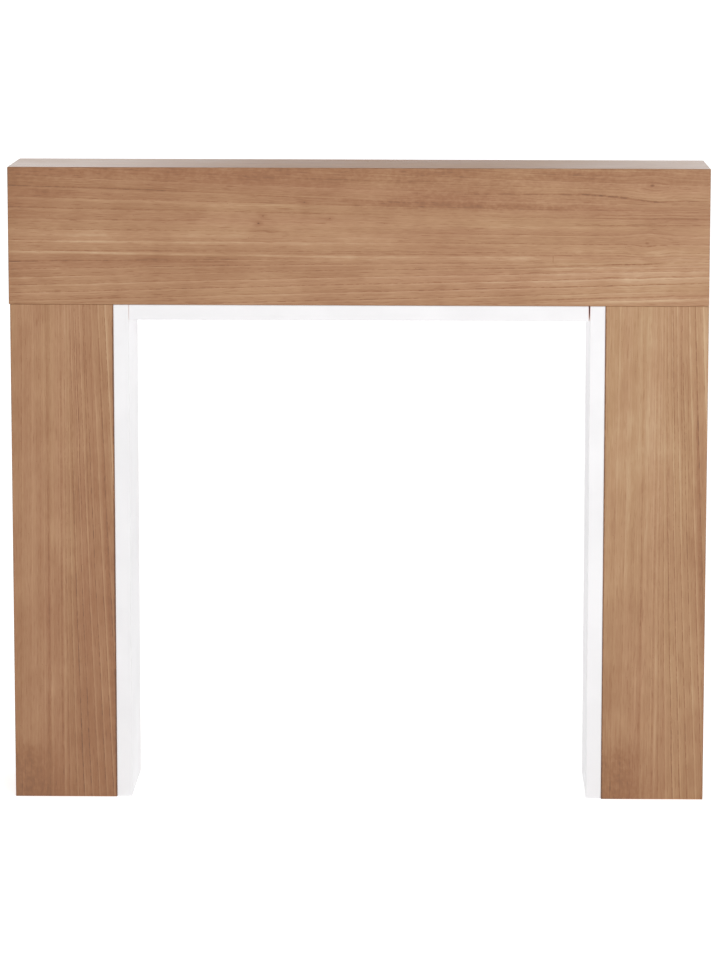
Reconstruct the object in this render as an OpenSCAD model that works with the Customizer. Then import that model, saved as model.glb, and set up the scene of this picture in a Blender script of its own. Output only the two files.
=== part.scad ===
// Fireplace mantelpiece: a boxed beam on two boxed legs, with a white lining round the fire opening.
// Every box is made of flat boards, mitred where two faces meet and left open at the wall.
// Origin: floor level, under the middle of the whole piece. +X right, -Y out into the room, +Z up.

/* [Overall] */
// Width of the beam, which is the width of the whole mantelpiece
overall_w = 1220; // [1000:10:1800]
// Height from the floor to the top of the beam
overall_h = 1120; // [900:10:1500]
// Depth from the faces to the wall
overall_d = 180; // [100:5:300]

/* [Beam] */
// Height of the beam's face
beam_h = 240; // [120:5:320]
// How far the beam stands out past the left leg
beam_past_left = 2; // [0:1:40]
// How far the beam stands out past the right leg
beam_past_right = 0; // [0:1:40]

/* [Legs] */
// Width of each leg's face
leg_w = 180; // [100:5:260]

/* [Boards] */
// Thickness of the veneered boards
board_t = 19; // [12:1:25]

/* [Lining] */
// Thickness of the white boards
lining_t = 27; // [15:1:40]
// How far the front edges of the white boards stand behind the faces of the legs
lining_setback = 1; // [0:1:20]
// Open joint at the right end of the head board
head_gap = 2; // [0:0.5:5]

/* [Hidden] */

veneer_colour = [0.69, 0.52, 0.40];
lining_colour = [0.95, 0.94, 0.94];

// The planes that the boards line up with
left_x = -overall_w / 2;
right_x = overall_w / 2;
face_y = -overall_d / 2;
wall_y = overall_d / 2;
leg_h = overall_h - beam_h;

// The outer and inner sides of the legs
left_leg_outer_x = left_x + beam_past_left;
left_leg_inner_x = left_leg_outer_x + leg_w;
right_leg_outer_x = right_x - beam_past_right;
right_leg_inner_x = right_leg_outer_x - leg_w;

// The space that the head board fills, between the two side boards of the lining
head_left_x = left_leg_inner_x + lining_t;
head_right_x = right_leg_inner_x - lining_t - head_gap;
lining_d = overall_d - lining_setback;

// A board standing in the XZ plane, with its w by h face at y = 0 looking along -Y, and its back at
// y = board_t. cuts says which edges are mitred: [left, right, bottom, top], 1 for a mitre, 0 for square.
module mitred_board(w, h, cuts) {
    color(veneer_colour)
        intersection() {
            linear_extrude(h)
                polygon([
                    [0, 0],
                    [w, 0],
                    [w - cuts[1] * board_t, board_t],
                    [cuts[0] * board_t, board_t]
                ]);
            rotate([90, 0, 90])
                linear_extrude(w)
                    polygon([
                        [0, 0],
                        [board_t, cuts[2] * board_t],
                        [board_t, h - cuts[3] * board_t],
                        [0, h]
                    ]);
        }
}

// An upright side board of the full depth, whose face lies at x and looks to the left.
// It is mitred to the face board, and ends says whether its bottom and top edges are mitred too.
module side_looking_left(x, z, h, ends) {
    translate([x, wall_y, z])
        rotate([0, 0, -90])
            mitred_board(overall_d, h, [0, 1, ends, ends]);
}

// The same board with its face looking to the right
module side_looking_right(x, z, h, ends) {
    translate([x, face_y, z])
        rotate([0, 0, 90])
            mitred_board(overall_d, h, [1, 0, ends, ends]);
}

// A white board of the lining, from its lowest corner at the front
module lining_board(x, z, w, h) {
    color(lining_colour)
        translate([x, face_y + lining_setback, z])
            cube([w, lining_d, h]);
}

module beam_front() {
    translate([left_x, face_y, leg_h])
        mitred_board(overall_w, beam_h, [1, 1, 1, 1]);
}

// The shelf, face up
module beam_top() {
    translate([left_x, face_y, overall_h])
        rotate([-90, 0, 0])
            mitred_board(overall_w, overall_d, [1, 1, 1, 0]);
}

// The underside of the beam, face down, which lies on the legs
module beam_soffit() {
    translate([left_x, wall_y, leg_h])
        rotate([90, 0, 0])
            mitred_board(overall_w, overall_d, [1, 1, 0, 1]);
}

module beam_end_left() {
    side_looking_left(left_x, leg_h, beam_h, 1);
}

module beam_end_right() {
    side_looking_right(right_x, leg_h, beam_h, 1);
}

module leg_left_front() {
    translate([left_leg_outer_x, face_y, 0])
        mitred_board(leg_w, leg_h, [1, 1, 0, 0]);
}

module leg_left_outer_side() {
    side_looking_left(left_leg_outer_x, 0, leg_h, 0);
}

module leg_left_inner_side() {
    side_looking_right(left_leg_inner_x, 0, leg_h, 0);
}

module leg_right_front() {
    translate([right_leg_inner_x, face_y, 0])
        mitred_board(leg_w, leg_h, [1, 1, 0, 0]);
}

module leg_right_outer_side() {
    side_looking_right(right_leg_outer_x, 0, leg_h, 0);
}

module leg_right_inner_side() {
    side_looking_left(right_leg_inner_x, 0, leg_h, 0);
}

module lining_left() {
    lining_board(left_leg_inner_x, 0, lining_t, leg_h);
}

module lining_right() {
    lining_board(right_leg_inner_x - lining_t, 0, lining_t, leg_h);
}

// The head board lies tight under the beam and against the left side board
module lining_head() {
    lining_board(head_left_x, leg_h - lining_t, head_right_x - head_left_x, lining_t);
}

beam_front();
beam_top();
beam_soffit();
beam_end_left();
beam_end_right();
leg_left_front();
leg_left_outer_side();
leg_left_inner_side();
leg_right_front();
leg_right_outer_side();
leg_right_inner_side();
lining_left();
lining_right();
lining_head();
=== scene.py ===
# %% [markdown]
# # A boxed fireplace mantelpiece
#
# A modern fire surround is joiner's work, not carving: a deep beam lies on two legs, and each of
# them is a box of flat boards, veneered on the outside and open at the wall. White boards line the
# fire opening. Nothing here is hard to outline, so all the work of this lesson goes into what makes
# plain boards look real: mitred corners with a softened edge, fine joints, and a veneer whose grain
# follows the way that a log grows.
#
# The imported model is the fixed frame. Every board takes its place and its size from there.

# %% The frame and its size
import math

import bpy
from mathutils import Matrix, Vector


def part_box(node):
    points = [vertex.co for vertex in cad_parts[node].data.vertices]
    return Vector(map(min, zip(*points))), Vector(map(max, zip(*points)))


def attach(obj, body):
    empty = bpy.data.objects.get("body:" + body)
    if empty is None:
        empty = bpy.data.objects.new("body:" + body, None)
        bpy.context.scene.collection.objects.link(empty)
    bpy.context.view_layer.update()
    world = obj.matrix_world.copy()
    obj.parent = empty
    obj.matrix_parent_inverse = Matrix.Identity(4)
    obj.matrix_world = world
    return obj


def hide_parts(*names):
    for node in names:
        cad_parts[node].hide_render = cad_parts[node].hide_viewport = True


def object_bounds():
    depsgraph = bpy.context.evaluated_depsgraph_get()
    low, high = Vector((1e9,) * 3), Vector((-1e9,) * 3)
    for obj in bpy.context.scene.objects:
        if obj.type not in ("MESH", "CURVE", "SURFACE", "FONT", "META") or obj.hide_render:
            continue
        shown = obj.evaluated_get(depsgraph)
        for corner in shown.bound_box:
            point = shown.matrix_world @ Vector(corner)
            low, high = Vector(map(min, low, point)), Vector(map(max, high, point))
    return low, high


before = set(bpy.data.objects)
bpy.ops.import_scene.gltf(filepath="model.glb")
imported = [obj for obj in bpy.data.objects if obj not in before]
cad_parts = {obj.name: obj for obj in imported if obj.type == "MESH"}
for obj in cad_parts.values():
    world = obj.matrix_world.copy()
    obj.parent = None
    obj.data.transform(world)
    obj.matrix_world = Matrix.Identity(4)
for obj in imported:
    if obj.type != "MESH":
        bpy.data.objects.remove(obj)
cad_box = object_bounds()

low_corner, high_corner = cad_box
WIDTH = high_corner.x - low_corner.x
DEPTH = high_corner.y - low_corner.y
HEIGHT = high_corner.z - low_corner.z
MM = 0.001
print("mantelpiece", round(WIDTH, 3), "m wide,", round(HEIGHT, 3), "m high,", len(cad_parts), "boards")

# %% [markdown]
# ## The camera
#
# It stands at eye height, a little to the right of the middle, about six metres away. A long lens from
# that far keeps the face almost free of perspective, and the small downward tilt shows a sliver of the
# shelf and the inner sides of the white boards. Part of the downward view comes from lens shift, which
# keeps the legs nearly upright, as a product photographer would.

# %% Camera
EYE = Vector((0.150, -6.157, 1.638))
TILT_DOWN = math.radians(7.46)
TURN_LEFT = math.radians(0.65)
ROLL = math.radians(0.13)

camera_data = bpy.data.cameras.new("camera")
camera = bpy.data.objects.new("camera", camera_data)
bpy.context.scene.collection.objects.link(camera)
bpy.context.scene.camera = camera
camera_data.lens = 131.7
camera_data.sensor_width = 36.0
camera_data.shift_x = -0.047
camera_data.shift_y = -0.160
camera.matrix_world = (
    Matrix.Translation(EYE)
    @ Matrix.Rotation(TURN_LEFT, 4, "Z")
    @ Matrix.Rotation(math.pi / 2 - TILT_DOWN, 4, "X")
    @ Matrix.Rotation(ROLL, 4, "Z")
)
print("camera at", tuple(round(v, 2) for v in EYE))

# %% [markdown]
# ## Sawing a board
#
# A veneered board starts as a square-edged block. Where two faces of a box meet, both boards are sawn
# back at 45 degrees, so that no core shows. In edit mode a bisect with its fill does what the saw does:
# it slices along a plane, throws the waste away and closes the cut. The sharp arris is then eased with
# the same tool, in a few shallow strokes that follow a quarter round. A bevel would round the thin edge
# of each board by itself and leave a groove along the mitre, so it isn't used there.

# %% Helpers for blocks and cuts
def deselect_all():
    """Leaves edit mode and selects nothing."""
    if bpy.context.mode != "OBJECT":
        bpy.ops.object.mode_set(mode="OBJECT")
    bpy.ops.object.select_all(action="DESELECT")


def add_block(name, low, high):
    """A square-edged block between two corners, with its object at the origin."""
    deselect_all()
    bpy.ops.mesh.primitive_cube_add(size=1, location=(low + high) / 2)
    block = bpy.context.object
    block.name = name
    block.data.name = name
    block.scale = high - low
    bpy.ops.object.transform_apply(location=True, rotation=False, scale=True)
    return block


def saw(board, point, waste_side):
    """Slices the board along a plane and throws away what lies on the waste side."""
    deselect_all()
    bpy.context.view_layer.objects.active = board
    board.select_set(True)
    bpy.ops.object.mode_set(mode="EDIT")
    bpy.ops.mesh.select_all(action="SELECT")
    bpy.ops.mesh.bisect(
        plane_co=point, plane_no=waste_side, use_fill=True, clear_outer=True, clear_inner=False
    )
    bpy.ops.object.mode_set(mode="OBJECT")


def edge_point(board_box, first, second):
    """A point on the edge where the two faces that look along first and second meet."""
    low, high = board_box
    middle = (low + high) / 2
    half = (high - low) / 2
    return middle + Vector((first + second)[i] * half[i] for i in range(3))


def ease(board, edge, first, second, radius, share=1.0, strokes=4):
    """Rounds an edge with shallow strokes. A share of 0.5 stops at the mitre, half way round."""
    centre = edge - radius * (first + second)
    for stroke in range(strokes):
        angle = (stroke + 0.5) / strokes * share * math.pi / 2
        slope = math.cos(angle) * first + math.sin(angle) * second
        saw(board, centre + radius * slope, slope)


# %% [markdown]
# ## The veneered boards
#
# Each entry says which way a board's veneered face looks, and which of its edges are mitred. The other
# edges stay square and are only broken with fine paper. The legs' upper ends are eased a little more,
# so a fine dark line shows where the beam lies on them.

# %% Board list
LEFT, RIGHT = Vector((-1, 0, 0)), Vector((1, 0, 0))
ROOM, WALL = Vector((0, -1, 0)), Vector((0, 1, 0))
DOWN, UP = Vector((0, 0, -1)), Vector((0, 0, 1))

BOARDS = {
    "beam_front": (ROOM, [LEFT, RIGHT, DOWN, UP]),
    "beam_top": (UP, [LEFT, RIGHT, ROOM]),
    "beam_soffit": (DOWN, [LEFT, RIGHT, ROOM]),
    "beam_end_left": (LEFT, [ROOM, DOWN, UP]),
    "beam_end_right": (RIGHT, [ROOM, DOWN, UP]),
    "leg_left_front": (ROOM, [LEFT, RIGHT]),
    "leg_left_outer_side": (LEFT, [ROOM]),
    "leg_left_inner_side": (RIGHT, [ROOM]),
    "leg_right_front": (ROOM, [LEFT, RIGHT]),
    "leg_right_outer_side": (RIGHT, [ROOM]),
    "leg_right_inner_side": (LEFT, [ROOM]),
}
ARRIS = 1.0 * MM
BROKEN_EDGE = 0.5 * MM
LEG_TOP_EDGE = 1.1 * MM


def make_board(name):
    """One veneered board: block, mitres, eased arrises and broken square edges."""
    outward, mitred = BOARDS[name]
    board_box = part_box(name)
    board = add_block(name + "_board", *board_box)
    for side in mitred:
        arris = edge_point(board_box, outward, side)
        saw(board, arris, side - outward)
        ease(board, arris, outward, side, ARRIS, share=0.5)
    for side in (LEFT, RIGHT, ROOM, WALL, DOWN, UP):
        if side in mitred or abs(side.dot(outward)) > 0.5:
            continue
        radius = LEG_TOP_EDGE if side == UP else BROKEN_EDGE
        ease(board, edge_point(board_box, outward, side), outward, side, radius, strokes=3)
    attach(board, "root")
    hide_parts(name)
    return board


boards = {name: make_board(name) for name in BOARDS}
print("sawn", len(boards), "veneered boards,", sum(len(b.data.polygons) for b in boards.values()), "faces")

# %% [markdown]
# ## The white lining
#
# The lining is solid board, rounded by several coats of paint. Here a bevel is the right tool, because
# each board has its own rounded edges and the joints between them are meant to show.

# %% Lining boards
PAINTED_EDGE = 1.3 * MM


def make_lining(name):
    """One painted board with rounded edges."""
    low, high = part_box(name)
    board = add_block(name + "_board", low, high)
    deselect_all()
    board.select_set(True)
    bpy.context.view_layer.objects.active = board
    rounding = board.modifiers.new("painted edges", "BEVEL")
    rounding.width = PAINTED_EDGE
    rounding.segments = 3
    rounding.limit_method = "NONE"
    bpy.ops.object.modifier_apply(modifier=rounding.name)
    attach(board, "root")
    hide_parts(name)
    return board


lining = {name: make_lining(name) for name in ("lining_left", "lining_right", "lining_head")}
print("lining", len(lining), "boards")


# %% [markdown]
# ## A small language for shader nodes
#
# A veneer is a long formula. Written node by node it would fill pages, so this helper lets a formula
# read like one: each call adds one node, joins what it is given, and hands back its output.

# %% Wiring helper
class Wiring:
    """Adds nodes to one tree. Each method takes sockets or plain values and returns a socket."""

    def __init__(self, tree):
        self.tree = tree

    def join(self, value, socket):
        if isinstance(value, bpy.types.NodeSocket):
            self.tree.links.new(value, socket)
        else:
            socket.default_value = value

    def node(self, kind, **settings):
        made = self.tree.nodes.new("ShaderNode" + kind)
        for key, value in settings.items():
            setattr(made, key, value)
        return made

    def math(self, operation, *values, clamp=False):
        made = self.node("Math", operation=operation, use_clamp=clamp)
        for value, socket in zip(values, made.inputs):
            self.join(value, socket)
        return made.outputs[0]

    def add(self, *values):
        total = values[0]
        for value in values[1:]:
            total = self.math("ADD", total, value)
        return total

    def minus(self, a, b):
        return self.math("SUBTRACT", a, b)

    def times(self, *values):
        product = values[0]
        for value in values[1:]:
            product = self.math("MULTIPLY", product, value)
        return product

    def point(self, x, y, z=0.0):
        made = self.node("CombineXYZ")
        for value, socket in zip((x, y, z), made.inputs):
            self.join(value, socket)
        return made.outputs[0]

    def split(self, vector):
        made = self.node("SeparateXYZ")
        self.join(vector, made.inputs[0])
        return made.outputs

    def noise(self, vector, detail=2.0, roughness=0.5, scale=1.0):
        made = self.node("TexNoise")
        self.join(vector, made.inputs["Vector"])
        made.inputs["Scale"].default_value = scale
        made.inputs["Detail"].default_value = detail
        made.inputs["Roughness"].default_value = roughness
        return made.outputs[0]

    def cells(self, vector, scale):
        """Scattered points: the distance to the nearest one, and a random number that belongs to it."""
        made = self.node("TexVoronoi", voronoi_dimensions="2D")
        self.join(vector, made.inputs["Vector"])
        made.inputs["Scale"].default_value = scale
        return made.outputs["Distance"], self.split(made.outputs["Color"])[0]

    def ease(self, value, start, end, low=0.0, high=1.0):
        """Goes smoothly from low to high while value goes from start to end."""
        made = self.node("MapRange", interpolation_type="SMOOTHSTEP")
        for given, socket in zip((value, start, end, low, high), made.inputs):
            self.join(given, socket)
        return made.outputs[0]

    def blend(self, factor, a, b, way="MIX"):
        """Mixes two colours."""
        made = self.node("Mix", data_type="RGBA", blend_type=way)
        self.join(factor, made.inputs["Factor"])
        self.join(a, made.inputs[6])
        self.join(b, made.inputs[7])
        return made.outputs[2]


def new_group(name, inputs, outputs):
    """An empty node group. A number makes a value socket, three a vector, four a colour."""
    group = bpy.data.node_groups.new(name, "ShaderNodeTree")
    for way, sockets in (("INPUT", inputs), ("OUTPUT", outputs)):
        for label, value in sockets.items():
            size = len(value) if isinstance(value, tuple) else 1
            kind = {1: "Float", 3: "Vector", 4: "Color"}[size]
            socket = group.interface.new_socket(label, in_out=way, socket_type="NodeSocket" + kind)
            socket.default_value = value
    return group, group.nodes.new("NodeGroupInput").outputs, group.nodes.new("NodeGroupOutput").inputs


def use_group(wiring, group, **values):
    """Places a group in a tree. Names are given with underscores in place of spaces."""
    made = wiring.node("Group", node_tree=group)
    for label, value in values.items():
        wiring.join(value, made.inputs[label.replace("_", " ")])
    return made.outputs


def new_material(name):
    """A material with the wiring of its tree and its Principled shader."""
    material = bpy.data.materials.new(name)
    material.use_nodes = True
    return material, Wiring(material.node_tree), material.node_tree.nodes["Principled BSDF"]


def add_relief(wiring, shader, height, strength, depth):
    """Lets a height, from about -0.5 to 0.5, show as fine relief."""
    bump = wiring.node("Bump")
    bump.inputs["Strength"].default_value = strength
    bump.inputs["Distance"].default_value = depth
    wiring.join(height, bump.inputs["Height"])
    wiring.join(bump.outputs[0], shader.inputs["Normal"])


# %% [markdown]
# ## How the grain of a veneer runs
#
# A log is a nest of long cones, one for each year, so the growth lines on a sawn leaf aren't parallel.
# They fan out from the line that lies nearest the heart of the log. On one side of it the years are
# close together, and on the other side the saw met them at a flat angle and they stand wide apart.
#
# The first group turns a place on the leaf into the grain's own coordinates: how far along, and how far
# from the heart line once the fan has been folded straight. Everything that follows the wood reads those.

# %% Node group: grain flow
flow_group, given, result = new_group(
    "grain flow",
    {
        "Place": (0.0, 0.0, 0.0),
        "Seed": 0.0,
        "Heart": 0.1,
        "Heart Width": 0.022,
        "Fan Close": 0.03,
        "Fan Wide": 0.01,
        "Fan Far": 0.0,
        "Fan Power": 1.0,
        "Unrest": 0.0,
    },
    {"Place": (0.0, 0.0, 0.0), "Along": 0.0, "Across": 0.0, "Flow": 0.0},
)
w = Wiring(flow_group)
along, across, through = w.split(given["Place"])
seed = given["Seed"]

WANDER, RIPPLE = 3.2 * MM, 1.4 * MM


def sway(along_scale, across_scale, reach, detail=2.0):
    """Noise that moves the fibres sideways, by at most half its reach."""
    spot = w.point(w.times(along, along_scale), w.times(across, across_scale), seed)
    return w.times(w.minus(w.noise(spot, detail), 0.5), reach)


wander = sway(1.6, 2.5, WANDER)
ripple = sway(14.0, 18.0, RIPPLE)
lively = sway(26.0, 40.0, given["Unrest"], detail=3.0)
settled = w.add(across, wander, ripple, lively)

beside = w.minus(settled, given["Heart"])
close_side = w.math("MAXIMUM", beside, 0.0)
wide_side = w.math("MAXIMUM", w.times(beside, -1.0), 0.0)


def side_share(distance):
    """Goes from 0 on the heart line to 1 well beside it."""
    heart_width = given["Heart Width"]
    reach = w.math("SQRT", w.add(w.times(distance, distance), w.times(heart_width, heart_width)))
    return w.math("DIVIDE", distance, reach)


length = w.math("POWER", w.math("MAXIMUM", along, 0.0), given["Fan Power"])
close_fan = w.times(given["Fan Close"], side_share(close_side), length)
wide_fan = w.times(given["Fan Wide"], side_share(wide_side), length)
far_fan = w.times(given["Fan Far"], wide_side, wide_side, length)
flow = w.minus(w.add(beside, close_fan), w.add(wide_fan, far_fan))

w.join(w.point(along, settled, through), result["Place"])
w.join(along, result["Along"])
w.join(across, result["Across"])
w.join(flow, result["Flow"])
print("group", flow_group.name, "with", len(flow_group.nodes), "nodes")

# %% [markdown]
# ## Growth lines
#
# Within a year the wood starts pale and open, darkens slowly, and ends in a thin dark line. So the
# fraction of a year gives a saw-tooth. The line isn't equally strong each year, and the pores that make
# it dark lie in short rows, so it looks dashed when seen close by.

# %% Node group: growth lines
lines_group, given, result = new_group(
    "growth lines",
    {
        "Along": 0.0,
        "Flow": 0.0,
        "Seed": 0.0,
        "Close Years": 0.0135,
        "Wide Years": 0.019,
        "First Line": 0.0,
        "Wide Strength": 1.0,
        "Strength": 1.0,
    },
    {"Tone": 0.0, "Pores": 0.0},
)
w = Wiring(lines_group)
along, flow, seed = given["Along"], given["Flow"], given["Seed"]
counted = w.minus(flow, given["First Line"])
close_side = w.math("MAXIMUM", counted, 0.0)
wide_side = w.math("MINIMUM", counted, 0.0)
years = w.add(
    w.math("DIVIDE", close_side, given["Close Years"]),
    w.math("DIVIDE", wide_side, given["Wide Years"]),
)
year = w.math("FLOOR", years)
season = w.math("FRACT", years)
# some years are faint, and so are all the wide ones
uneven = w.noise(w.point(w.times(along, 1.4), w.times(year, 3.7), seed), detail=1.0)
strength = w.ease(uneven, 0.30, 0.66, 0.25, 1.0)
strength = w.times(strength, given["Strength"], w.ease(counted, -0.012, 0.004, given["Wide Strength"], 1.0))
# the line builds up slowly at the end of a year and stops at once
late = w.ease(season, 0.85, 0.97)
late = w.times(late, w.ease(season, 1.0, 0.985))
early = w.times(w.ease(season, 0.32, 0.05), w.ease(season, 0.0, 0.03))
slow = w.minus(0.5, season)
dashes = w.noise(w.point(w.times(along, 90.0), w.times(year, 5.3), seed), detail=1.0)
row = w.times(late, w.ease(dashes, 0.44, 0.58))
# each part of the year with its weight in the tone
seasons = ((early, 0.14), (late, -0.07), (row, -0.27), (slow, 0.08))
tone = w.add(*(w.times(part, weight) for part, weight in seasons))
w.join(w.times(tone, strength), result["Tone"])
w.join(w.times(row, strength), result["Pores"])
print("group", lines_group.name, "with", len(lines_group.nodes), "nodes")

# %% [markdown]
# ## Fibres, bands and clouds
#
# Between the lines the wood is never even. Broad bands and narrow ones follow the flow, fibres show as
# very thin streaks, single pores as short dark dashes, and a soft cloudiness lies over all of it, where
# the figure of the wood catches the light.

# %% Node group: fibres and bands
fibre_group, given, result = new_group(
    "fibres and bands",
    {
        "Along": 0.0,
        "Across": 0.0,
        "Flow": 0.0,
        "Seed": 0.0,
        "Bands": 1.0,
        "Fibres": 1.0,
        "Pores": 1.0,
        "Clouds": 1.0,
    },
    {"Tone": 0.0, "Warmth": 0.0, "Relief": 0.0, "Gloss Change": 0.0},
)
w = Wiring(fibre_group)
along, across, flow, seed = given["Along"], given["Across"], given["Flow"], given["Seed"]


def grain_noise(along_scale, across_scale, across_value, detail=2.0, roughness=0.5):
    """Noise around zero that is stretched along the board."""
    spot = w.point(w.times(along, along_scale), w.times(across_value, across_scale), seed)
    return w.minus(w.noise(spot, detail, roughness), 0.5)


broad = grain_noise(1.1, 34.0, flow)
narrow = grain_noise(2.4, 170.0, flow, detail=3.0, roughness=0.6)
fibre = grain_noise(10.0, 500.0, flow, roughness=0.6)
thread = grain_noise(55.0, 540.0, across, detail=1.0)
cloud = grain_noise(5.0, 10.0, across, detail=3.0)
figure = grain_noise(22.0, 30.0, across)
pore = w.ease(grain_noise(30.0, 360.0, flow, detail=1.0), 0.13, 0.22)
warmth = grain_noise(1.8, 26.0, flow)

# each layer with its weight in the tone, and the input that turns it up or down
layers = (
    (broad, 0.36, "Bands"),
    (narrow, 0.22, "Bands"),
    (fibre, 0.30, "Fibres"),
    (thread, 0.26, "Fibres"),
    (cloud, 0.46, "Clouds"),
    (figure, 0.22, "Clouds"),
    (pore, -0.15, "Pores"),
)
w.join(w.add(*(w.times(layer, weight, given[label]) for layer, weight, label in layers)), result["Tone"])
w.join(warmth, result["Warmth"])
w.join(w.minus(w.add(fibre, w.times(thread, 0.5)), w.times(pore, 0.8)), result["Relief"])
w.join(w.add(cloud, w.times(fibre, 0.5)), result["Gloss Change"])
print("group", fibre_group.name, "with", len(fibre_group.nodes), "nodes")

# %% [markdown]
# ## Streaks, pin knots and specks
#
# No noise puts a mark where the eye remembers it. The strongest streaks and the two pin knots are drawn
# one by one instead, in millimetres on the leaf. A streak is a soft line between two points. A pin knot
# is a dark spot that pushes the lines around it aside. Specks are tiny and scattered.
#
# A dark streak is a row of pores, so it may be dashed, and a light one is always whole. The noise that
# makes a streak patchy is the same for all of them: it depends on the place only.

# %% Node groups: streak, pin knot, specks
streak_group, given, result = new_group(
    "streak",
    {"Place": (0.0, 0.0, 0.0), "From": (0.0, 0.0, 0.0), "To": (1.0, 0.0, 0.0), "Width": 0.003},
    {"Mask": 0.0, "Dashed Mask": 0.0},
)
w = Wiring(streak_group)
along, across, _ = w.split(given["Place"])
from_along, from_across, _ = w.split(given["From"])
to_along, to_across, _ = w.split(given["To"])
# how far along the streak this place is, and how far beside its line
share = w.math("DIVIDE", w.minus(along, from_along), w.minus(to_along, from_along))
line = w.add(from_across, w.times(share, w.minus(to_across, from_across)))
off = w.math("ABSOLUTE", w.minus(across, line))
ends = w.times(w.ease(share, -0.06, 0.22), w.ease(share, 1.06, 0.78))
patchy = w.noise(w.point(w.times(along, 12.0), w.times(across, 30.0)), detail=2.0)
body = w.math("POWER", w.ease(off, given["Width"], 0.0), 1.3)
dashes = w.noise(w.point(w.times(along, 110.0), w.times(across, 150.0)), detail=1.0)
mask = w.times(body, ends, w.ease(patchy, 0.25, 0.60, 0.7, 1.5))
w.join(mask, result["Mask"])
w.join(w.times(mask, w.ease(dashes, 0.38, 0.60, 0.7, 1.3)), result["Dashed Mask"])

KNOT_SQUEEZE = 0.35  # below 1 a knot is longer along the grain than across it
SWIRL_SIZES, HALO_SIZES = 6.0, 5.0  # how far its swirl and its halo reach, in knot sizes
HALO_STRENGTH = 0.36
knot_group, given, result = new_group(
    "pin knot",
    {"Place": (0.0, 0.0, 0.0), "At": (0.0, 0.0, 0.0), "Size": 0.002, "Push": 0.5},
    {"Place": (0.0, 0.0, 0.0), "Mask": 0.0},
)
w = Wiring(knot_group)
along, across, through = w.split(given["Place"])
at_along, at_across, _ = w.split(given["At"])
beyond = w.minus(along, at_along)
beside = w.minus(across, at_across)
radius = w.math("SQRT", w.add(w.times(beyond, beyond, KNOT_SQUEEZE), w.times(beside, beside)))
swirl = w.math("DIVIDE", radius, w.times(given["Size"], SWIRL_SIZES))
push = w.times(w.math("EXPONENT", w.times(swirl, swirl, -1.0)), given["Push"])
w.join(w.point(along, w.minus(across, w.times(beside, push)), through), result["Place"])
core = w.ease(radius, given["Size"], w.times(given["Size"], 0.2))
halo = w.ease(radius, w.times(given["Size"], HALO_SIZES), 0.0)
w.join(w.add(core, w.times(halo, HALO_STRENGTH)), result["Mask"])

SPECKS_PER_METRE = 55.0
speck_group, given, result = new_group(
    "specks", {"Place": (0.0, 0.0, 0.0), "Size": 0.001, "Share": 0.2}, {"Mask": 0.0}
)
w = Wiring(speck_group)
distance, chance = w.cells(given["Place"], SPECKS_PER_METRE)
rim = w.times(given["Size"], SPECKS_PER_METRE)
inside = w.ease(distance, rim, w.times(rim, 0.4))
w.join(w.times(inside, w.math("LESS_THAN", chance, given["Share"])), result["Mask"])
print("groups for single marks:", streak_group.name, "/", knot_group.name, "/", speck_group.name)

# %% [markdown]
# ## From tone to colour, and the edges
#
# One number, the tone, runs through all of the grain. Dark wood is also redder, and light wood is
# golden, so the tone picks from four browns rather than scaling one. A second number, the warmth, tints
# broad bands a little purplish or golden. Along every edge the tone is made a little darker: the second
# group finds edges on any face of a box, because there the second smallest distance to the box's sides
# is small.

# %% Node groups: wood colour, box edge
BROWNS = (
    (0.0, (0.160, 0.070, 0.036, 1.0)),
    (0.35, (0.308, 0.139, 0.064, 1.0)),
    (0.65, (0.434, 0.242, 0.131, 1.0)),
    (1.0, (0.600, 0.416, 0.266, 1.0)),
)
PURPLISH, GOLDEN = (1.015, 0.97, 1.0, 1.0), (0.985, 1.035, 0.95, 1.0)
TINT_REACH = 0.85

colour_group, given, result = new_group(
    "wood colour", {"Tone": 0.5, "Warmth": 0.0}, {"Colour": (0.5, 0.3, 0.2, 1.0)}
)
w = Wiring(colour_group)
shade = BROWNS[0][1]
for (start, _), (end, brown) in zip(BROWNS, BROWNS[1:]):
    step = w.math("DIVIDE", w.minus(given["Tone"], start), end - start, clamp=True)
    shade = w.blend(step, shade, brown)
tint = w.blend(w.add(0.5, w.times(given["Warmth"], TINT_REACH)), PURPLISH, GOLDEN)
w.join(w.blend(1.0, shade, tint, "MULTIPLY"), result["Colour"])

edge_group, given, result = new_group(
    "box edge",
    {"Spot": (0.0, 0.0, 0.0), "Low": (0.0, 0.0, 0.0), "High": (1.0, 1.0, 1.0), "Width": 0.002},
    {"Mask": 0.0},
)
w = Wiring(edge_group)
to_sides = [
    w.math("MINIMUM", w.minus(spot, low), w.minus(high, spot))
    for spot, low, high in zip(w.split(given["Spot"]), w.split(given["Low"]), w.split(given["High"]))
]
smaller = w.math("MINIMUM", to_sides[0], to_sides[1])
larger = w.math("MAXIMUM", to_sides[0], to_sides[1])
second = w.math("MAXIMUM", smaller, w.math("MINIMUM", larger, to_sides[2]))
w.join(w.ease(second, given["Width"], 0.0), result["Mask"])
print("groups", colour_group.name, "and", edge_group.name)

# %% [markdown]
# ## Veneer under satin lacquer
#
# Each leaf says which way it runs, how its fan lies, and which single marks it has. The two legs are
# faced with sister leaves, sliced one after the other from the same block, so they share a pattern.
# The beam has a livelier right-hand end, close to a branch, and one short scratch across the grain.

# %% Leaves
AXES = {"X": 0, "Y": 1, "Z": 2}

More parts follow.
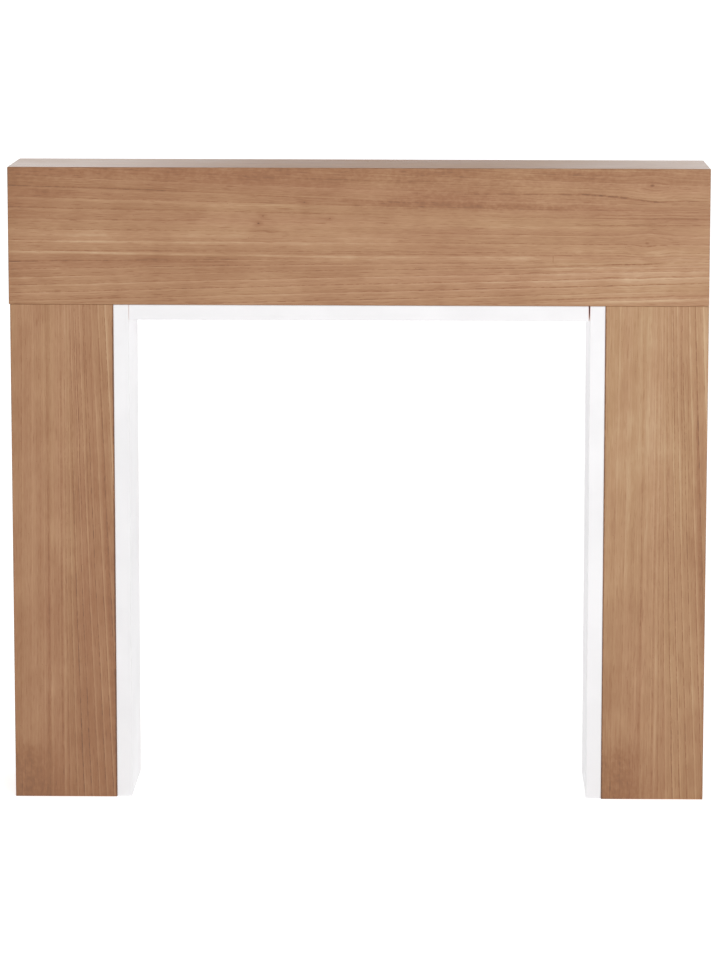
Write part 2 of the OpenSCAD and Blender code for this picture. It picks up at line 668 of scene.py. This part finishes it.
BEAM_STREAKS = [
    # from (along, up), to (along, up), width, strength, in millimetres
    ((-60, 209), (230, 203), 2.2, -0.09),
    ((150, 205), (480, 190), 2.2, -0.08),
    ((420, 192), (720, 179), 2.4, -0.09),
    ((20, 198), (130, 195), 10, -0.08),
    ((60, 184), (330, 178), 5, 0.04),
    ((290, 175), (640, 171), 7, 0.06),
    ((380, 163), (720, 157), 3, -0.05),
    ((400, 223), (860, 215), 1.8, -0.07),
    ((520, 178), (1020, 170), 14, -0.06),
    ((600, 192), (1120, 182), 46, -0.06),
    ((760, 196), (1040, 195), 2.0, -0.12),
    ((990, 196.5), (1155, 183), 3.2, -0.20),
    ((1090, 184.5), (1280, 184), 1.6, -0.10),
    ((1000, 196), (1240, 192), 6, 0.05),
    ((1030, 166), (1225, 166), 1.5, 0.10),
    ((1030, 161.5), (1225, 161.5), 1.4, 0.08),
    ((960, 159), (1200, 159), 1.3, -0.08),
    ((1010, 157), (1240, 156.5), 1.4, 0.07),
    ((960, 153.5), (1260, 153), 1.4, -0.10),
    ((960, 141.5), (1300, 142), 1.6, -0.15),
    ((250, 138), (1150, 136), 12, 0.05),
    ((20, 122), (520, 121), 6, 0.06),
    ((0, 112), (600, 106), 5, 0.09),
    ((-60, 94), (600, 84), 4, 0.15),
    ((520, 84), (960, 85), 5, 0.12),
    ((460, 80), (980, 82), 12, 0.04),
    ((900, 98), (1200, 96), 9, 0.05),
    ((-60, 76), (420, 77), 4, -0.09),
    ((460, 91), (1260, 88), 2.4, -0.10),
    ((900, 68), (1220, 78), 2.6, -0.11),
    ((1030, 72), (1140, 75.5), 3.6, -0.15),
    ((820, 66), (920, 67), 3, -0.08),
    ((900, 59), (1260, 67.5), 1.8, -0.09),
    ((900, 44), (1260, 56), 1.8, -0.08),
    ((900, 31), (1200, 40), 2.0, -0.10),
    ((860, 9), (1280, 21), 2.4, -0.13),
    ((960, 5), (1260, 14), 6, 0.10),
    ((760, 55), (1460, 66), 84, 0.12),
    ((-200, 118), (760, 116), 45, 0.08),
    ((-400, 234), (1500, 228), 42, -0.09),
    ((-400, 30), (700, 40), 60, 0.035),
]
LEG_STREAKS = [
    ((-60, 181), (940, 152), 7, -0.06),
    ((480, 180), (960, 165), 7, 0.08),
    ((40, 174), (940, 141), 4, 0.02),
    ((-60, 89), (560, 92), 5, 0.12),
    ((480, 92), (940, 94), 4.5, 0.08),
    ((-60, 84), (940, 88), 3.5, -0.07),
    ((-60, 66), (940, 75), 4.5, 0.06),
    ((-60, 60), (940, 66), 3, -0.05),
    ((-60, 53), (940, 59), 3, 0.06),
    ((-60, 38), (940, 38), 8, 0.03),
    ((-60, 124), (760, 102), 3.5, -0.08),
    ((-60, 137), (760, 115), 3, -0.05),
    ((-120, 20), (110, 20), 90, -0.10),
    ((-60, 78), (940, 84), 14, 0.04),
    ((460, 123.5), (960, 111), 1.3, -0.17),
    ((420, 136.5), (960, 125), 1.3, -0.15),
    ((380, 115), (880, 103), 1.3, -0.13),
    ((380, 148), (960, 138), 1.2, -0.09),
    ((260, 92), (880, 94), 1.2, -0.10),
    ((160, 63.5), (960, 62), 1.2, -0.08),
]
BEAM_KNOTS = [((1119, 211), 3.2, 0.32), ((1111, 110.5), 3.0, 0.18)]
BEAM_DOTS = [
    ((436, 143), 1.7, 0.42),
    ((444, 156), 1.4, 0.30),
    ((560, 152), 1.5, 0.24),
    ((516, 180), 1.5, 0.22),
]
BEAM_SCRATCHES = [((948, 89), (948, 76), 1.3, -0.16)]


CALM, LIVELY = 0.6 * MM, 3.4 * MM  # how far the fibres stray
LIVELY_RAMP = 0.25  # the length over which a calm leaf becomes lively, in metres
START_LENGTH = 0.045  # how far a shaded start reaches
SPECK_SIZE, SPECK_TONE = 0.8 * MM, -0.24
DARK_EDGE_WIDTH, DARK_EDGE_TONE = 1.6 * MM, -0.07
SATIN, GLOSS_CHANGE = 0.48, 0.16
DULL, SHINY = 0.46, 0.30
DULL_HALF, SHINY_HALF = 0.10, 0.62  # where the shelf stops being dull and where it shines, from its middle


def leaf_place(w, box, along, across, slide):
    """Object coordinates as distances along and across a leaf. A minus sign counts from the far side."""
    low, high = box
    spot = w.split(w.node("TexCoord").outputs["Object"])
    distances = []
    for direction in (along, across):
        axis = AXES[direction[-1]]
        if direction.startswith("-"):
            distances.append(w.minus(high[axis], spot[axis]))
        else:
            distances.append(w.minus(spot[axis], low[axis]))
    third = 3 - AXES[along[-1]] - AXES[across[-1]]
    return w.point(distances[0], w.minus(distances[1], slide), w.minus(spot[third], low[third]))


def leaf_point(place, depth):
    """Millimetres along and up, as metres along and across. A leaf that is read downwards has a depth."""
    along, up = Vector(place) * MM
    return Vector((along, depth - up if depth else up, 0.0))


def add_marks(w, tone, marks, place, settled, depth):
    """Adds the single marks to the tone. Streaks follow the settled grain, the others lie on top."""
    run, rise, _ = w.split(place)
    for start, end, width, strength in marks.get("streaks", []):
        ends = dict(From=leaf_point(start, depth), To=leaf_point(end, depth))
        streak = use_group(w, streak_group, Place=settled, Width=width * MM, **ends)
        mask = streak["Dashed Mask"] if strength < 0.0 else streak["Mask"]
        tone = w.add(tone, w.times(mask, strength))
    for start, end, width, strength in marks.get("scratches", []):
        # a scratch crosses the grain, so it is the same soft line with its two directions swapped
        ends = dict(From=leaf_point(start, depth).yxz, To=leaf_point(end, depth).yxz)
        scratch = use_group(w, streak_group, Place=w.point(rise, run), Width=width * MM, **ends)
        tone = w.add(tone, w.times(scratch["Mask"], strength))
    for at, size, strength in marks.get("dots", []):
        dot = use_group(w, knot_group, Place=place, At=leaf_point(at, depth), Size=size * MM, Push=0.0)
        tone = w.add(tone, w.times(dot["Mask"], -strength))
    return tone


def veneer_material(name, box, along, across, flow, lines, fibres, look, marks):
    """Lacquered veneer whose grain runs along one axis of the board."""
    material, w, shader = new_material(name)
    place = leaf_place(w, box, along, across, look.get("slide", 0.0))
    depth = look.get("measured_up", 0.0)
    dark = 0.0
    for at, size, strength in marks.get("knots", []):
        knot = use_group(w, knot_group, Place=place, At=leaf_point(at, depth), Size=size * MM, Push=0.6)
        place = knot["Place"]
        dark = w.add(dark, w.times(knot["Mask"], -strength))
    run = w.split(place)[0]
    unrest = CALM
    if "lively_from" in look:
        start = look["lively_from"]
        unrest = w.ease(run, start, start + LIVELY_RAMP, CALM, LIVELY)
    grain = use_group(w, flow_group, Place=place, Unrest=unrest, **flow)
    common = dict(Along=grain["Along"], Flow=grain["Flow"], Seed=flow["Seed"])
    years = use_group(w, lines_group, **common, **lines)
    wood = use_group(w, fibre_group, Across=grain["Across"], **common, **fibres)
    tone = w.add(look["tone"], dark, years["Tone"], wood["Tone"])
    # the tone drifts along each leaf, partly the wood's own tone and partly painted shade: the legs darker
    # towards the floor and the beam towards its left end, away from the lamp
    tone = w.add(tone, w.times(w.minus(w.math("DIVIDE", run, look["length"]), 0.5), look["drift"]))
    tone = w.add(tone, w.ease(run, START_LENGTH, 0.0, 0.0, look.get("start_shade", 0.0)))
    tone = add_marks(w, tone, marks, place, grain["Place"], depth)
    specks = use_group(w, speck_group, Place=place, Size=SPECK_SIZE, Share=look.get("specks", 0.06))
    tone = w.add(tone, w.times(specks["Mask"], SPECK_TONE))
    spot = w.node("TexCoord").outputs["Object"]
    # the tone is made a little darker along every edge of the board
    edge = use_group(w, edge_group, Spot=spot, Low=box[0], High=box[1], Width=DARK_EDGE_WIDTH)
    tone = w.add(tone, w.times(edge["Mask"], DARK_EDGE_TONE))
    warmth = w.add(wood["Warmth"], look.get("warmth", 0.0))
    colour = use_group(w, colour_group, Tone=tone, Warmth=warmth)
    w.join(colour["Colour"], shader.inputs["Base Color"])
    rough = SATIN
    if "dull_middle" in look:
        from_middle = w.math("ABSOLUTE", w.minus(run, look["dull_middle"] * look["length"]))
        rough = w.ease(from_middle, DULL_HALF, SHINY_HALF, DULL, SHINY)
    w.join(w.add(rough, w.times(wood["Gloss Change"], GLOSS_CHANGE)), shader.inputs["Roughness"])
    relief = w.minus(wood["Relief"], w.times(years["Pores"], 0.5))
    add_relief(w, shader, relief, strength=0.22, depth=0.2 * MM)
    shader.inputs["IOR"].default_value = 1.45
    return material


# %% Veneer materials
BEAM_FLOW = {
    "Seed": 2.0,
    "Heart": 0.152,
    "Fan Close": 0.030,
    "Fan Wide": 0.006,
    "Fan Far": 2.55,
    "Fan Power": 1.05,
}
LEG_FLOW = {"Seed": 11.0, "Heart": 0.093, "Fan Close": 0.043, "Fan Wide": 0.010}
BEAM_LINES = {
    "Close Years": 0.01375,
    "Wide Years": 0.019,
    "First Line": 0.013,
    "Wide Strength": 0.55,
    "Strength": 0.88,
}
LEG_LINES = {
    "Close Years": 0.013,
    "Wide Years": 0.017,
    "First Line": 0.004,
    "Wide Strength": 0.3,
    "Strength": 0.85,
}
QUIET_LINES = {"Close Years": 0.012, "Wide Years": 0.017, "First Line": 0.0, "Wide Strength": 0.6}
BEAM_FIBRES = {"Bands": 0.62, "Fibres": 0.88, "Clouds": 0.9, "Pores": 1.05}
LEG_FIBRES = {"Bands": 0.50, "Fibres": 0.66, "Clouds": 0.9, "Pores": 0.7}


def quiet_flow(seed, heart):
    """The flow of a leaf for a side that is seldom looked at."""
    return {"Seed": seed, "Heart": heart, "Fan Close": 0.03, "Fan Wide": 0.01}


def spaced(values):
    """Turns socket names with spaces into keyword names."""
    return {label.replace(" ", "_"): value for label, value in values.items()}


BEAM_LENGTH = WIDTH
leg_low, leg_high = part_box("leg_left_front")
LEG_LENGTH = leg_high.z
BEAM_DEPTH = HEIGHT - LEG_LENGTH
BEAM_LOOK = dict(
    tone=0.515,
    drift=0.05,
    length=BEAM_LENGTH,
    measured_up=BEAM_DEPTH,
    lively_from=0.9,
    specks=0.05,
    start_shade=-0.07,
)
# along the edge beside the lining each leg has a painted shadow line, for the shade in the joint with the
# lining. The right leaf is slid sideways, in millimetres.
LEG_WIDTH = (leg_high.x - leg_low.x) / MM
RIGHT_SLIDE = 4.0
EDGE_INSET = 0.6


def painted_shadow_line(across):
    """A painted shadow line along the whole leg, at one distance across it."""
    return ((-200, across), (1080, across), 2.0, -0.40)


LEAVES = {
    "beam_front": (
        "X", "-Z", BEAM_FLOW, BEAM_LINES, BEAM_FIBRES, BEAM_LOOK,
        dict(streaks=BEAM_STREAKS, knots=BEAM_KNOTS, dots=BEAM_DOTS, scratches=BEAM_SCRATCHES),
    ),
    "leg_left_front": (
        "Z", "X", LEG_FLOW, LEG_LINES, LEG_FIBRES,
        dict(tone=0.47, drift=0.16, length=LEG_LENGTH, specks=0.14),
        dict(streaks=LEG_STREAKS + [painted_shadow_line(LEG_WIDTH - EDGE_INSET)]),
    ),
    # the right leaf is lighter than the left: partly its own colour, partly painted light on the side nearer
    # the lamp
    "leg_right_front": (
        "Z", "X", {**LEG_FLOW, "Seed": 11.4}, LEG_LINES, LEG_FIBRES,
        dict(tone=0.57, drift=0.22, length=LEG_LENGTH, slide=RIGHT_SLIDE * MM, specks=0.14, warmth=0.20),
        dict(streaks=LEG_STREAKS + [painted_shadow_line(EDGE_INSET - RIGHT_SLIDE)]),
    ),
}
QUIET_LEAVES = {
    "beam_top": ("X", "Y", quiet_flow(5.0, 0.09), dict(tone=0.50, length=BEAM_LENGTH, dull_middle=0.55)),
    "beam_soffit": ("X", "Y", quiet_flow(6.0, 0.07), dict(tone=0.48, length=BEAM_LENGTH)),
    "beam_end_left": ("Y", "-Z", quiet_flow(7.0, 0.15), dict(tone=0.48, length=DEPTH)),
    "beam_end_right": ("Y", "-Z", quiet_flow(8.0, 0.14), dict(tone=0.54, length=DEPTH)),
    "leg_left_outer_side": ("Z", "Y", quiet_flow(12.0, 0.05), dict(tone=0.47, length=LEG_LENGTH)),
    "leg_left_inner_side": ("Z", "Y", quiet_flow(13.0, 0.07), dict(tone=0.48, length=LEG_LENGTH)),
    "leg_right_outer_side": ("Z", "Y", quiet_flow(15.0, 0.06), dict(tone=0.54, length=LEG_LENGTH)),
    "leg_right_inner_side": ("Z", "Y", quiet_flow(16.0, 0.05), dict(tone=0.52, length=LEG_LENGTH)),
}
for name, (along, across, flow, look) in QUIET_LEAVES.items():
    LEAVES[name] = (along, across, flow, QUIET_LINES, LEG_FIBRES, dict(drift=0.06, **look), {})

for name, (along, across, flow, lines, fibres, look, marks) in LEAVES.items():
    finish = veneer_material(
        name + "_veneer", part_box(name), along, across, spaced(flow), spaced(lines), fibres, look, marks
    )
    boards[name].data.materials.append(finish)
print("veneered", len(LEAVES), "boards")

# %% [markdown]
# ## The sides that nobody lacquers
#
# From behind, the boxes are open. Their inner faces carry a plain backing veneer without lacquer, and
# the sawn edges at the wall and the floor show the pressed-fibre core between two thin brown lines, which
# are the veneers seen end on.

# %% Backing veneer and core
VENEER_THICK = 0.6 * MM
BACKING_TONE = 0.66
CORE_DARK, CORE_LIGHT = (0.27, 0.185, 0.115, 1.0), (0.40, 0.29, 0.19, 1.0)
CORE_BLOTCH = (0.24, 0.155, 0.095, 1.0)
VENEER_END = (0.20, 0.095, 0.045, 1.0)


def backing_material(name, box, along, across, seed):
    """Unlacquered backing veneer, paler, dull and without single marks."""
    material, w, shader = new_material(name)
    place = leaf_place(w, box, along, across, 0.0)
    grain = use_group(w, flow_group, Place=place, **spaced(quiet_flow(seed, 0.08)))
    common = dict(Along=grain["Along"], Flow=grain["Flow"], Seed=seed)
    years = use_group(w, lines_group, **common, **spaced(QUIET_LINES))
    wood = use_group(w, fibre_group, Across=grain["Across"], **common, **LEG_FIBRES)
    tone = w.add(BACKING_TONE, w.times(years["Tone"], 0.8), wood["Tone"])
    colour = use_group(w, colour_group, Tone=tone, Warmth=wood["Warmth"])
    w.join(colour["Colour"], shader.inputs["Base Color"])
    add_relief(w, shader, wood["Relief"], strength=0.4, depth=0.2 * MM)
    shader.inputs["Roughness"].default_value = 0.75
    shader.inputs["Specular IOR Level"].default_value = 0.25
    return material


def core_material(name, box, outward):
    """The sawn edge of a board: fine pressed fibre, with a veneer line at each face."""
    material, w, shader = new_material(name)
    spot = w.node("TexCoord").outputs["Object"]
    fine = w.noise(spot, detail=3.0, roughness=0.7, scale=900.0)
    coarse = w.noise(spot, detail=2.0, scale=60.0)
    fibre = w.blend(w.ease(fine, 0.35, 0.65), CORE_DARK, CORE_LIGHT)
    fibre = w.blend(w.times(w.ease(coarse, 0.45, 0.75), 0.35), fibre, CORE_BLOTCH)
    axis = [abs(v) for v in outward].index(1.0)
    level = w.split(spot)[axis]
    to_face = w.math("MINIMUM", w.minus(level, box[0][axis]), w.minus(box[1][axis], level))
    lip = w.ease(to_face, VENEER_THICK + 0.3 * MM, VENEER_THICK)
    w.join(w.blend(lip, fibre, VENEER_END), shader.inputs["Base Color"])
    add_relief(w, shader, fine, strength=0.5, depth=0.3 * MM)
    shader.inputs["Roughness"].default_value = 0.9
    shader.inputs["Specular IOR Level"].default_value = 0.2
    return material


BACKING_SEED = 30.0
for number, (name, board) in enumerate(boards.items()):
    outward = BOARDS[name][0]
    along, across = LEAVES[name][:2]
    backing = backing_material(name + "_backing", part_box(name), along, across, BACKING_SEED + number)
    board.data.materials.append(backing)
    board.data.materials.append(core_material(name + "_core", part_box(name), outward))
    for face in board.data.polygons:
        toward = face.normal.dot(outward)
        if toward < -0.5:
            face.material_index = 1
        elif toward < 0.2:
            face.material_index = 2
print("backed", len(boards), "boards")

# %% [markdown]
# ## White paint, and bare wood in the joint
#
# The lining is sprayed white, faintly uneven and a touch thinner on its rounded edges. It was painted
# after it was put together, so the ends of the head board and the wood that they meet stayed bare.
# The open joint at the right shows that reddish wood, with painted light and shade in it: it is paler than
# bare wood, for the light that bounces into the joint, and darkest near the top, away from the opening
# below.

# %% Paint
PAINT_THIN = (0.835, 0.825, 0.835, 1.0)
PAINT_FULL = (0.880, 0.870, 0.880, 1.0)
PAINT_EDGE = (0.740, 0.710, 0.710, 1.0)
BARE_WOOD_PAINTED_SHADE = (0.780, 0.430, 0.330, 1.0)
BARE_WOOD_PAINTED_LIGHT = (0.900, 0.700, 0.620, 1.0)
HEAD_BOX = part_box("lining_head")
HEAD_LOW, HEAD_HIGH = HEAD_BOX[0].z, HEAD_BOX[1].z


def paint_material(name, box, bare_planes):
    """White paint. Each plane in bare_planes is an X position where the joint was never painted."""
    material, w, shader = new_material(name)
    spot = w.node("TexCoord").outputs["Object"]
    x, _, z = w.split(spot)
    cloudy = w.noise(spot, detail=3.0, scale=9.0)
    spray = w.noise(spot, detail=2.0, roughness=0.6, scale=420.0)
    white = w.blend(w.ease(cloudy, 0.3, 0.7), PAINT_THIN, PAINT_FULL)
    edge = use_group(w, edge_group, Spot=spot, Low=box[0], High=box[1], Width=1.8 * MM)
    white = w.blend(w.times(edge["Mask"], 0.5), white, PAINT_EDGE)
    above_opening = w.ease(z, HEAD_LOW + 0.2 * MM, HEAD_LOW + 1.4 * MM)
    # painted light and shade: the bare wood in the joint is paled, and painted darker towards the top of the
    # head board
    bare_wood_and_painted_light = w.blend(w.ease(z, HEAD_LOW, HEAD_HIGH), BARE_WOOD_PAINTED_LIGHT, BARE_WOOD_PAINTED_SHADE)
    for plane in bare_planes:
        at_plane = w.ease(w.math("ABSOLUTE", w.minus(x, plane)), 0.7 * MM, 0.3 * MM)
        white = w.blend(w.times(at_plane, above_opening), white, bare_wood_and_painted_light)
    w.join(white, shader.inputs["Base Color"])
    w.join(w.add(0.42, w.times(cloudy, 0.12)), shader.inputs["Roughness"])
    add_relief(w, shader, spray, strength=0.12, depth=0.2 * MM)
    return material


BARE_PLANES = {
    "lining_left": [],
    "lining_right": [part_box("lining_right")[0].x],
    "lining_head": [HEAD_BOX[0].x, HEAD_BOX[1].x],
}
for name, board in lining.items():
    board.data.materials.append(paint_material(name + "_paint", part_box(name), BARE_PLANES[name]))
print("painted", len(lining), "boards")

# %% [markdown]
# ## Floor and light
#
# The floor is a very large pale sheet, lit softly from within like a photographer's light table, so it
# reads white right up to the horizon. A dim, even room lights the object from all round. Behind it the
# room is brighter, so that the shelf takes a sheen, and a glow overhead lifts what looks up. One large
# softbox stands in front, high and to the right. To the camera the room itself is plain white.

# %% Floor
FLOOR_SIZE = 400.0
FLOOR_GLOW = 0.58

deselect_all()
bpy.ops.mesh.primitive_plane_add(size=FLOOR_SIZE, location=(0, 0, 0))
floor = bpy.context.object
floor.name = "floor"
floor_paint, _, floor_shader = new_material("floor")
floor_shader.inputs["Base Color"].default_value = (0.93, 0.93, 0.93, 1.0)
floor_shader.inputs["Roughness"].default_value = 1.0
floor_shader.inputs["Specular IOR Level"].default_value = 0.0
floor_shader.inputs["Emission Color"].default_value = (1.0, 1.0, 1.0, 1.0)
floor_shader.inputs["Emission Strength"].default_value = FLOOR_GLOW
floor.data.materials.append(floor_paint)

# %% Light
ROOM_LIGHT, BACK_WALL, OVERHEAD = 0.34, 1.45, 0.60
WALL_EDGE = (0.84, 0.98)  # direction cosines, from where the wall starts to where it is fully bright
OVERHEAD_EDGE = (0.55, 0.95)
KEY_PLACE, KEY_TARGET = (1.9, -4.5, 2.6), (0.2, 0.0, 0.8)
KEY_SIZE, KEY_POWER = 3.0, 75

bpy.context.scene.view_settings.view_transform = "Standard"
world = bpy.data.worlds.new("studio")
bpy.context.scene.world = world
world.use_nodes = True
w = Wiring(world.node_tree)
sky = world.node_tree.nodes["Background"]
sky.inputs["Color"].default_value = (1.0, 1.0, 1.0, 1.0)
_, toward_wall, upward = w.split(w.node("TexCoord").outputs["Generated"])
around = w.ease(toward_wall, *WALL_EDGE, ROOM_LIGHT, BACK_WALL)
around = w.add(around, w.ease(upward, *OVERHEAD_EDGE, 0.0, OVERHEAD))
seen = w.node("LightPath").outputs["Is Camera Ray"]
w.join(w.add(around, w.times(seen, w.minus(1.0, around))), sky.inputs["Strength"])


def softbox(name, place, target, size, power):
    """A square area light that looks at a target."""
    data = bpy.data.lights.new(name, "AREA")
    data.shape = "SQUARE"
    data.size = size
    data.energy = power
    lamp = bpy.data.objects.new(name, data)
    bpy.context.scene.collection.objects.link(lamp)
    lamp.location = place
    lamp.visible_camera = False
    lamp.rotation_euler = (Vector(target) - Vector(place)).to_track_quat("-Z", "Y").to_euler()
    return lamp


softbox("key", KEY_PLACE, KEY_TARGET, KEY_SIZE, KEY_POWER)
